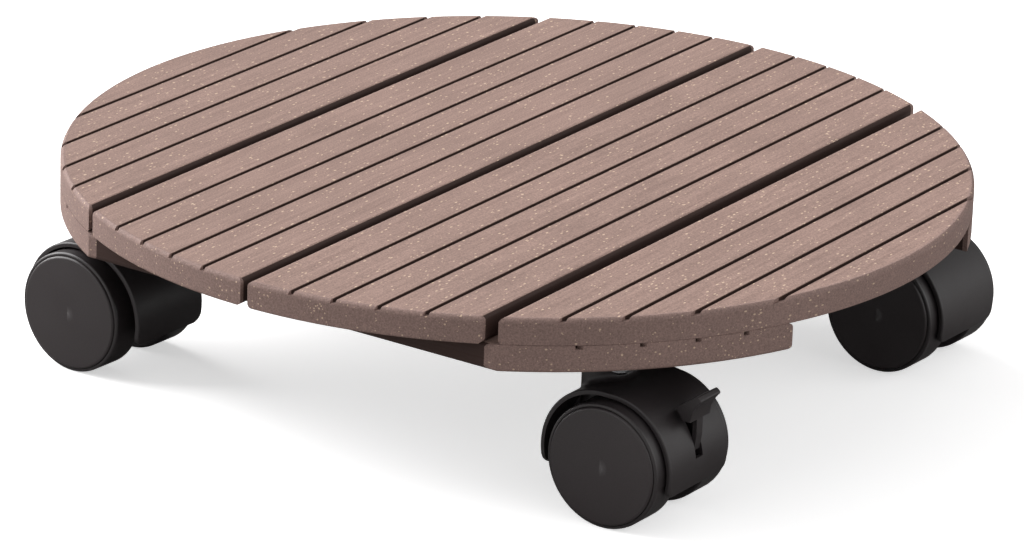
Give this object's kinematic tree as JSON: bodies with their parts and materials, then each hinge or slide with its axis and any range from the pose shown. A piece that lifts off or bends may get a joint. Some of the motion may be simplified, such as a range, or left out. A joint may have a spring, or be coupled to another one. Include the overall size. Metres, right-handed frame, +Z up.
{
  "type": "plant pot caddy",
  "caption": "Round slatted plant caddy of grooved composite boards on two battens, rolling on hooded twin-wheel swivel casters, some with a foot brake lever.",
  "frame": {"origin": "on the floor under the middle of the round deck", "axes": "+Z up, +X along the deck boards, +Y across the boards; the two battens run along Y"},
  "size_m": [0.295, 0.295, 0.069],
  "materials": {
    "board": "matte extruded wood-plastic",
    "hood_plastic": "satin black moulding",
    "wheel_plastic": "satin black moulding",
    "cover_plastic": "satin black moulding",
    "lever_plastic": "satin black moulding",
    "zinc": "zinc plated",
    "steel": "plain steel"
  },
  "bodies": {
    "deck": {"deck_board_1": "board", "deck_board_2": "board", "deck_board_3": "board", "deck_board_4": "board", "batten_left": "board", "batten_right": "board", "deck_screws": "steel", "front_left_plate": "zinc", "front_left_plate_screws": "steel", "front_left_kingpin": "steel", "front_left_snap_ring": "steel", "front_right_plate": "zinc", "front_right_plate_screws": "steel", "front_right_kingpin": "steel", "front_right_snap_ring": "steel", "rear_left_plate": "zinc", "rear_left_plate_screws": "steel", "rear_left_kingpin": "steel", "rear_left_snap_ring": "steel", "rear_right_plate": "zinc", "rear_right_plate_screws": "steel", "rear_right_kingpin": "steel", "rear_right_snap_ring": "steel"},
    "front_left_swivel": {"front_left_hood": "hood_plastic", "front_left_axle": "steel", "front_left_lever_pin": "steel"},
    "front_left_wheel_1": {"front_left_wheel_1": "wheel_plastic", "front_left_wheel_cover_1": "cover_plastic"},
    "front_left_wheel_2": {"front_left_wheel_2": "wheel_plastic", "front_left_wheel_cover_2": "cover_plastic"},
    "front_left_lever": {"front_left_brake_lever": "lever_plastic"},
    "front_right_swivel": {"front_right_hood": "hood_plastic", "front_right_axle": "steel"},
    "front_right_wheel_1": {"front_right_wheel_1": "wheel_plastic", "front_right_wheel_cover_1": "cover_plastic"},
    "front_right_wheel_2": {"front_right_wheel_2": "wheel_plastic", "front_right_wheel_cover_2": "cover_plastic"},
    "rear_left_swivel": {"rear_left_hood": "hood_plastic", "rear_left_axle": "steel"},
    "rear_left_wheel_1": {"rear_left_wheel_1": "wheel_plastic", "rear_left_wheel_cover_1": "cover_plastic"},
    "rear_left_wheel_2": {"rear_left_wheel_2": "wheel_plastic", "rear_left_wheel_cover_2": "cover_plastic"},
    "rear_right_swivel": {"rear_right_hood": "hood_plastic", "rear_right_axle": "steel", "rear_right_lever_pin": "steel"},
    "rear_right_wheel_1": {"rear_right_wheel_1": "wheel_plastic", "rear_right_wheel_cover_1": "cover_plastic"},
    "rear_right_wheel_2": {"rear_right_wheel_2": "wheel_plastic", "rear_right_wheel_cover_2": "cover_plastic"},
    "rear_right_lever": {"rear_right_brake_lever": "lever_plastic"}
  },
  "joints": [
    {"name": "front_left_swivel_turn", "type": "hinge", "parent": "deck", "child": "front_left_swivel", "pos_m": [-0.0825, -0.09, 0.045], "axis": [0, 0, 1], "continuous": true},
    {"name": "front_left_wheel_1_spin", "type": "hinge", "parent": "front_left_swivel", "child": "front_left_wheel_1", "pos_m": [-0.08271, -0.1023, 0.02], "axis": [0.9998, -0.0175, 0], "continuous": true},
    {"name": "front_left_wheel_2_spin", "type": "hinge", "parent": "front_left_swivel", "child": "front_left_wheel_2", "pos_m": [-0.08271, -0.1023, 0.02], "axis": [0.9998, -0.0175, 0], "continuous": true},
    {"name": "front_left_lever_press", "type": "hinge", "parent": "front_left_swivel", "child": "front_left_lever", "pos_m": [-0.08291, -0.1133, 0.029], "axis": [0.9998, -0.0175, 0], "range_deg": [0, 20]},
    {"name": "front_right_swivel_turn", "type": "hinge", "parent": "deck", "child": "front_right_swivel", "pos_m": [0.0825, -0.09, 0.045], "axis": [0, 0, 1], "continuous": true},
    {"name": "front_right_wheel_1_spin", "type": "hinge", "parent": "front_right_swivel", "child": "front_right_wheel_1", "pos_m": [0.08207, -0.10229, 0.02], "axis": [0.9994, -0.0349, 0], "continuous": true},
    {"name": "front_right_wheel_2_spin", "type": "hinge", "parent": "front_right_swivel", "child": "front_right_wheel_2", "pos_m": [0.08207, -0.10229, 0.02], "axis": [0.9994, -0.0349, 0], "continuous": true},
    {"name": "rear_left_swivel_turn", "type": "hinge", "parent": "deck", "child": "rear_left_swivel", "pos_m": [-0.0825, 0.09, 0.045], "axis": [0, 0, 1], "continuous": true},
    {"name": "rear_left_wheel_1_spin", "type": "hinge", "parent": "rear_left_swivel", "child": "rear_left_wheel_1", "pos_m": [-0.08186, 0.10228, 0.02], "axis": [-0.9986, 0.0523, 0], "continuous": true},
    {"name": "rear_left_wheel_2_spin", "type": "hinge", "parent": "rear_left_swivel", "child": "rear_left_wheel_2", "pos_m": [-0.08186, 0.10228, 0.02], "axis": [-0.9986, 0.0523, 0], "continuous": true},
    {"name": "rear_right_swivel_turn", "type": "hinge", "parent": "deck", "child": "rear_right_swivel", "pos_m": [0.0825, 0.09, 0.045], "axis": [0, 0, 1], "continuous": true},
    {"name": "rear_right_wheel_1_spin", "type": "hinge", "parent": "rear_right_swivel", "child": "rear_right_wheel_1", "pos_m": [0.08186, 0.10228, 0.02], "axis": [-0.9986, -0.0523, 0], "continuous": true},
    {"name": "rear_right_wheel_2_spin", "type": "hinge", "parent": "rear_right_swivel", "child": "rear_right_wheel_2", "pos_m": [0.08186, 0.10228, 0.02], "axis": [-0.9986, -0.0523, 0], "continuous": true},
    {"name": "rear_right_lever_press", "type": "hinge", "parent": "rear_right_swivel", "child": "rear_right_lever", "pos_m": [0.08128, 0.11327, 0.029], "axis": [-0.9986, -0.0523, 0], "range_deg": [0, 20]}
  ]
}
